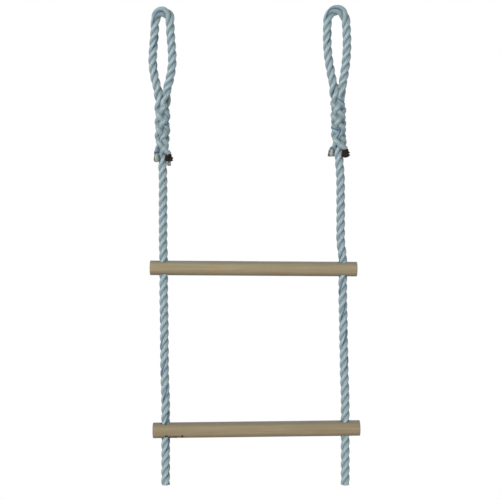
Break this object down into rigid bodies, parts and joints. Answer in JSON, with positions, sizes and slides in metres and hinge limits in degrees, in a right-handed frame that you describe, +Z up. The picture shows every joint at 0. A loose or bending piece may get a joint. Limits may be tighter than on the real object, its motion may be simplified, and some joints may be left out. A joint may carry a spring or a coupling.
{
  "type": "escape rope ladder",
  "caption": "Rope ladder head section: three-strand side ropes with long spliced hanging eyes, joined by round wooden rungs that the ropes pass through.",
  "frame": {"origin": "midway between the side ropes, just under the crowns of the two eyes, where they bear on what holds them", "axes": "+Z up along the hanging ladder, +X to the right along the rungs seen from the front, +Y away from the front"},
  "size_m": [0.3948, 0.0294, 0.894],
  "materials": {
    "rope": "laid synthetic fibre, matte, pale blue-grey",
    "burnt_rope": "charred and melted fibre",
    "beech": "turned and sanded, no varnish",
    "pin_steel": "plain nail steel"
  },
  "bodies": {
    "hanging_eyes": {"left_eye": "rope", "right_eye": "rope", "left_splice": "rope", "right_splice": "rope", "left_strand_end_burnt": "burnt_rope", "left_strand_end_bead": "rope", "left_strand_end_pale": "rope", "right_strand_end_burnt": "burnt_rope", "right_strand_end_cut": "rope", "right_strand_end_pale": "rope"},
    "left_upper_1": {"left_upper_rope_1": "rope"},
    "left_upper_2": {"left_upper_rope_2": "rope"},
    "left_upper_3": {"left_upper_rope_3": "rope"},
    "rung_1": {"rung_1": "beech", "rung_1_left_pin": "pin_steel", "rung_1_right_pin": "pin_steel", "left_rope_in_rung_1": "rope"},
    "left_middle_1": {"left_middle_rope_1": "rope"},
    "left_middle_2": {"left_middle_rope_2": "rope"},
    "left_middle_3": {"left_middle_rope_3": "rope"},
    "rung_2": {"rung_2": "beech", "rung_2_left_pin": "pin_steel", "rung_2_right_pin": "pin_steel", "left_rope_in_rung_2": "rope"},
    "left_tail": {"left_rope_tail": "rope"},
    "right_upper_1": {"right_upper_rope_1": "rope"},
    "right_upper_2": {"right_upper_rope_2": "rope"},
    "right_upper_3": {"right_upper_rope_3": "rope"},
    "right_rope_in_rung_1": {"right_rope_in_rung_1": "rope"},
    "right_middle_1": {"right_middle_rope_1": "rope"},
    "right_middle_2": {"right_middle_rope_2": "rope"},
    "right_middle_3": {"right_middle_rope_3": "rope"},
    "right_rope_in_rung_2": {"right_rope_in_rung_2": "rope"},
    "right_tail": {"right_rope_tail": "rope"}
  },
  "joints": [
    {"name": "left_top_swing", "type": "hinge", "parent": "hanging_eyes", "child": "left_upper_1", "pos_m": [-0.1694, 0, -0.292], "axis": [1, 0, 0], "range_deg": [-60, 60]},
    {"name": "left_upper_sway", "type": "hinge", "parent": "left_upper_1", "child": "left_upper_2", "pos_m": [-0.1691, 0, -0.324], "axis": [0, 1, 0], "range_deg": [-25, 25]},
    {"name": "left_upper_level", "type": "hinge", "parent": "left_upper_2", "child": "left_upper_3", "pos_m": [-0.1691, 0, -0.405], "axis": [0, 1, 0], "range_deg": [-25, 25]},
    {"name": "left_fold_above_rung_1", "type": "hinge", "parent": "left_upper_3", "child": "rung_1", "pos_m": [-0.1679, 0, -0.434], "axis": [-1, 0, 0], "range_deg": [-60, 60]},
    {"name": "left_fold_below_rung_1", "type": "hinge", "parent": "rung_1", "child": "left_middle_1", "pos_m": [-0.1679, 0, -0.513], "axis": [-1, 0, 0], "range_deg": [-75, 75]},
    {"name": "left_middle_fold_upper", "type": "hinge", "parent": "left_middle_1", "child": "left_middle_2", "pos_m": [-0.1667, 0, -0.59], "axis": [1, 0, 0], "range_deg": [-75, 75]},
    {"name": "left_middle_fold_lower", "type": "hinge", "parent": "left_middle_2", "child": "left_middle_3", "pos_m": [-0.1664, 0, -0.648], "axis": [1, 0, 0], "range_deg": [-75, 75]},
    {"name": "left_fold_above_rung_2", "type": "hinge", "parent": "left_middle_3", "child": "rung_2", "pos_m": [-0.1643, 0, -0.725], "axis": [-1, 0, 0], "range_deg": [-75, 75]},
    {"name": "left_tail_swing", "type": "hinge", "parent": "rung_2", "child": "left_tail", "pos_m": [-0.1643, 0, -0.813], "axis": [1, 0, 0], "range_deg": [-75, 75]},
    {"name": "right_top_swing", "type": "hinge", "parent": "hanging_eyes", "child": "right_upper_1", "pos_m": [0.1604, 0, -0.292], "axis": [1, 0, 0], "range_deg": [-60, 60]},
    {"name": "right_upper_sway", "type": "hinge", "parent": "right_upper_1", "child": "right_upper_2", "pos_m": [0.1626, 0, -0.324], "axis": [0, 1, 0], "range_deg": [-25, 25]},
    {"name": "right_upper_level", "type": "hinge", "parent": "right_upper_2", "child": "right_upper_3", "pos_m": [0.1626, 0, -0.405], "axis": [0, 1, 0], "range_deg": [-25, 25]},
    {"name": "right_fold_above_rung_1", "type": "hinge", "parent": "right_upper_3", "child": "right_rope_in_rung_1", "pos_m": [0.1665, 0, -0.434], "axis": [-1, 0, 0], "range_deg": [-60, 60]},
    {"name": "right_fold_below_rung_1", "type": "hinge", "parent": "right_rope_in_rung_1", "child": "right_middle_1", "pos_m": [0.1665, 0, -0.513], "axis": [-1, 0, 0], "range_deg": [-75, 75]},
    {"name": "right_middle_fold_upper", "type": "hinge", "parent": "right_middle_1", "child": "right_middle_2", "pos_m": [0.1679, 0, -0.59], "axis": [1, 0, 0], "range_deg": [-75, 75]},
    {"name": "right_middle_fold_lower", "type": "hinge", "parent": "right_middle_2", "child": "right_middle_3", "pos_m": [0.169, 0, -0.648], "axis": [1, 0, 0], "range_deg": [-75, 75]},
    {"name": "right_fold_above_rung_2", "type": "hinge", "parent": "right_middle_3", "child": "right_rope_in_rung_2", "pos_m": [0.1711, 0, -0.725], "axis": [-1, 0, 0], "range_deg": [-75, 75]},
    {"name": "right_tail_swing", "type": "hinge", "parent": "right_rope_in_rung_2", "child": "right_tail", "pos_m": [0.1711, 0, -0.813], "axis": [1, 0, 0], "range_deg": [-75, 75]}
  ],
  "couplings": [
    {"joint": "left_upper_level", "follows": "left_upper_sway", "ratio": -1},
    {"joint": "left_middle_fold_lower", "follows": "left_middle_fold_upper", "ratio": 1},
    {"joint": "right_top_swing", "follows": "left_top_swing", "ratio": 1},
    {"joint": "right_upper_sway", "follows": "left_upper_sway", "ratio": 1},
    {"joint": "right_upper_level", "follows": "left_upper_sway", "ratio": -1},
    {"joint": "right_fold_above_rung_1", "follows": "left_fold_above_rung_1", "ratio": 1},
    {"joint": "right_fold_below_rung_1", "follows": "left_fold_below_rung_1", "ratio": 1},
    {"joint": "right_middle_fold_upper", "follows": "left_middle_fold_upper", "ratio": 1},
    {"joint": "right_middle_fold_lower", "follows": "left_middle_fold_upper", "ratio": 1},
    {"joint": "right_fold_above_rung_2", "follows": "left_fold_above_rung_2", "ratio": 1}
  ]
}
